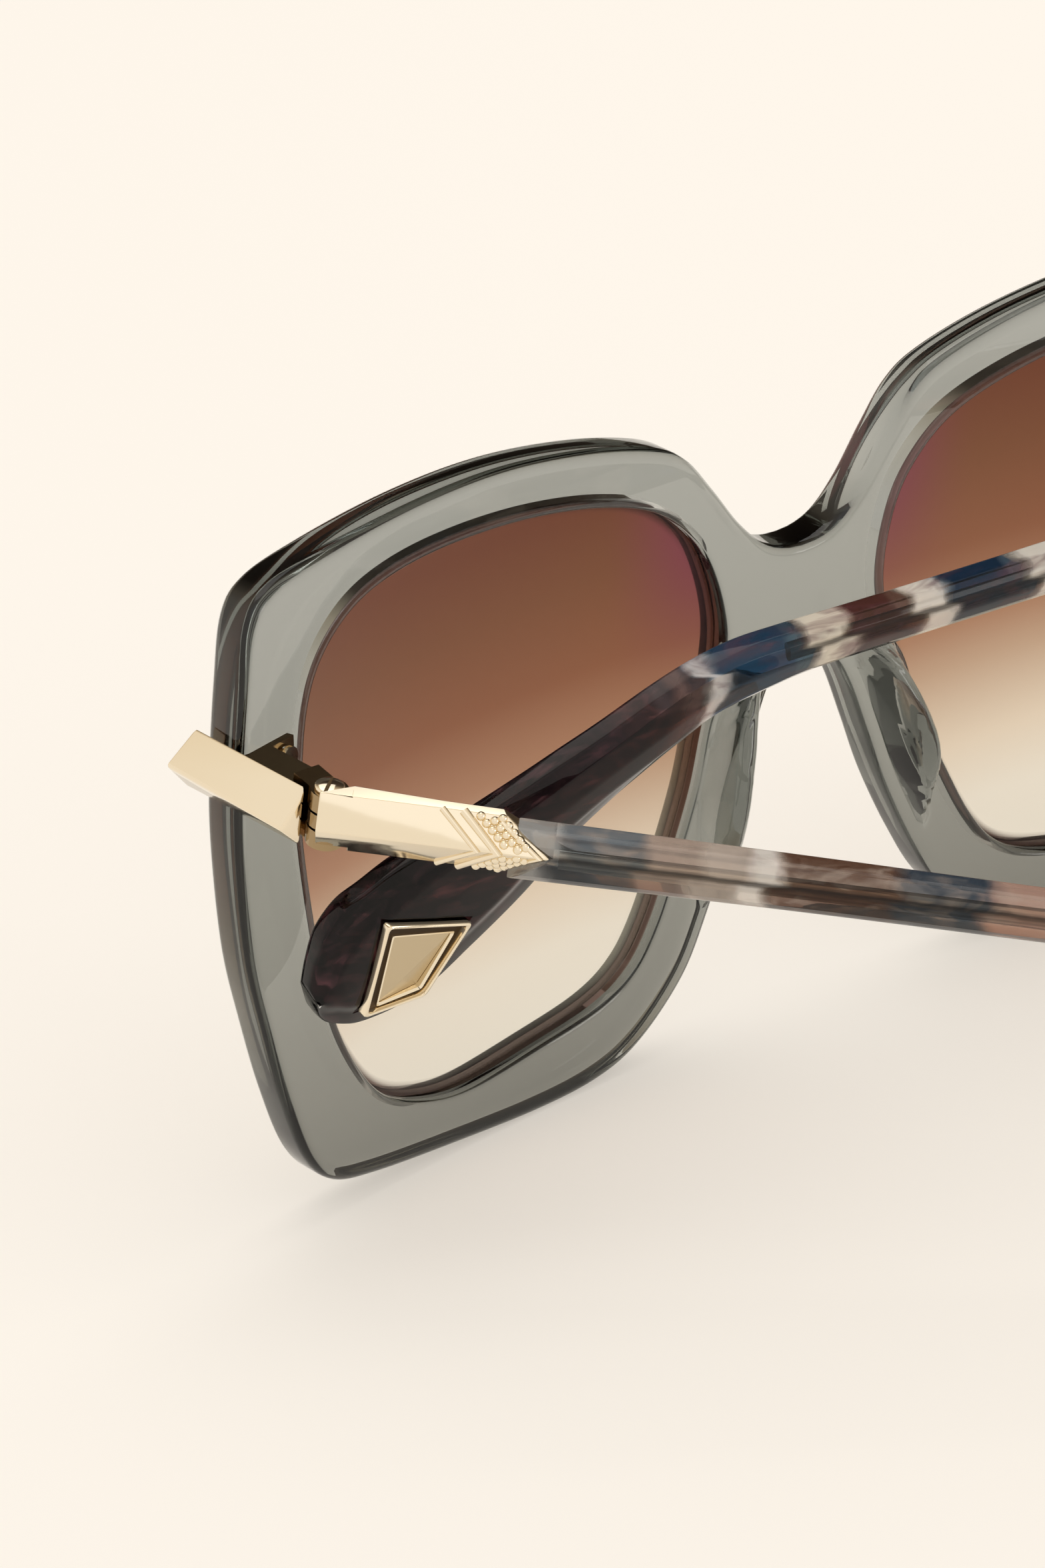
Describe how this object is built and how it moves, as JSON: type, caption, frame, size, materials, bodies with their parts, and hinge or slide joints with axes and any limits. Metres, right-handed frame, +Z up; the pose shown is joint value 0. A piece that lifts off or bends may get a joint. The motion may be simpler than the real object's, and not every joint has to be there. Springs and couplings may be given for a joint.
{
  "type": "square sunglasses",
  "caption": "Oversized square sunglasses with a translucent acetate front, brown gradient lenses and hinged arms with gold arrow caps.",
  "frame": {"origin": "centre of the bounding box's underside, level with the lower rims and the left arm's tip", "axes": "+X towards the wearer's left, -Y the way the wearer looks, +Z up"},
  "size_m": [0.1462, 0.1128, 0.0641],
  "materials": {
    "grey_acetate": "polished translucent grey acetate",
    "mottled_acetate": "polished acetate with slate, brown and pearl blotches",
    "brown_gradient_lens": "tinted polymer lens, brown at the top fading to cream",
    "pale_gold_plating": "polished pale gold plating",
    "hinge_metal": "plated hinge metal",
    "nickel_silver_wire": "drawn wire",
    "brushed_pale_gold": "brushed pale gold"
  },
  "bodies": {
    "front": {"front_frame": "grey_acetate", "lens_left": "brown_gradient_lens", "lens_right": "brown_gradient_lens", "endpiece_bar_left": "pale_gold_plating", "endpiece_bar_right": "pale_gold_plating", "front_leaf_left": "hinge_metal", "front_leaf_right": "hinge_metal", "leaf_rivet_left": "pale_gold_plating", "leaf_rivet_right": "pale_gold_plating", "hinge_screw_left": "hinge_metal", "hinge_screw_right": "hinge_metal"},
    "left_arm": {"temple_leaf_left": "hinge_metal", "temple_cap_left": "pale_gold_plating", "temple_left": "mottled_acetate", "temple_core_left": "nickel_silver_wire", "tip_bezel_left": "pale_gold_plating", "tip_inlay_left": "brushed_pale_gold"},
    "right_arm": {"temple_leaf_right": "hinge_metal", "temple_cap_right": "pale_gold_plating", "temple_right": "mottled_acetate", "temple_core_right": "nickel_silver_wire", "tip_bezel_right": "pale_gold_plating", "tip_inlay_right": "brushed_pale_gold"}
  },
  "joints": [
    {"name": "left_arm_fold", "type": "hinge", "parent": "front", "child": "left_arm", "pos_m": [0.0693, -0.02926, 0.04642], "axis": [0, 0.2395, 0.9709], "range_deg": [-48.5, 39]},
    {"name": "right_arm_fold", "type": "hinge", "parent": "front", "child": "right_arm", "pos_m": [-0.0693, -0.02926, 0.04642], "axis": [0, 0.2395, 0.9709], "range_deg": [-1, 16]}
  ]
}
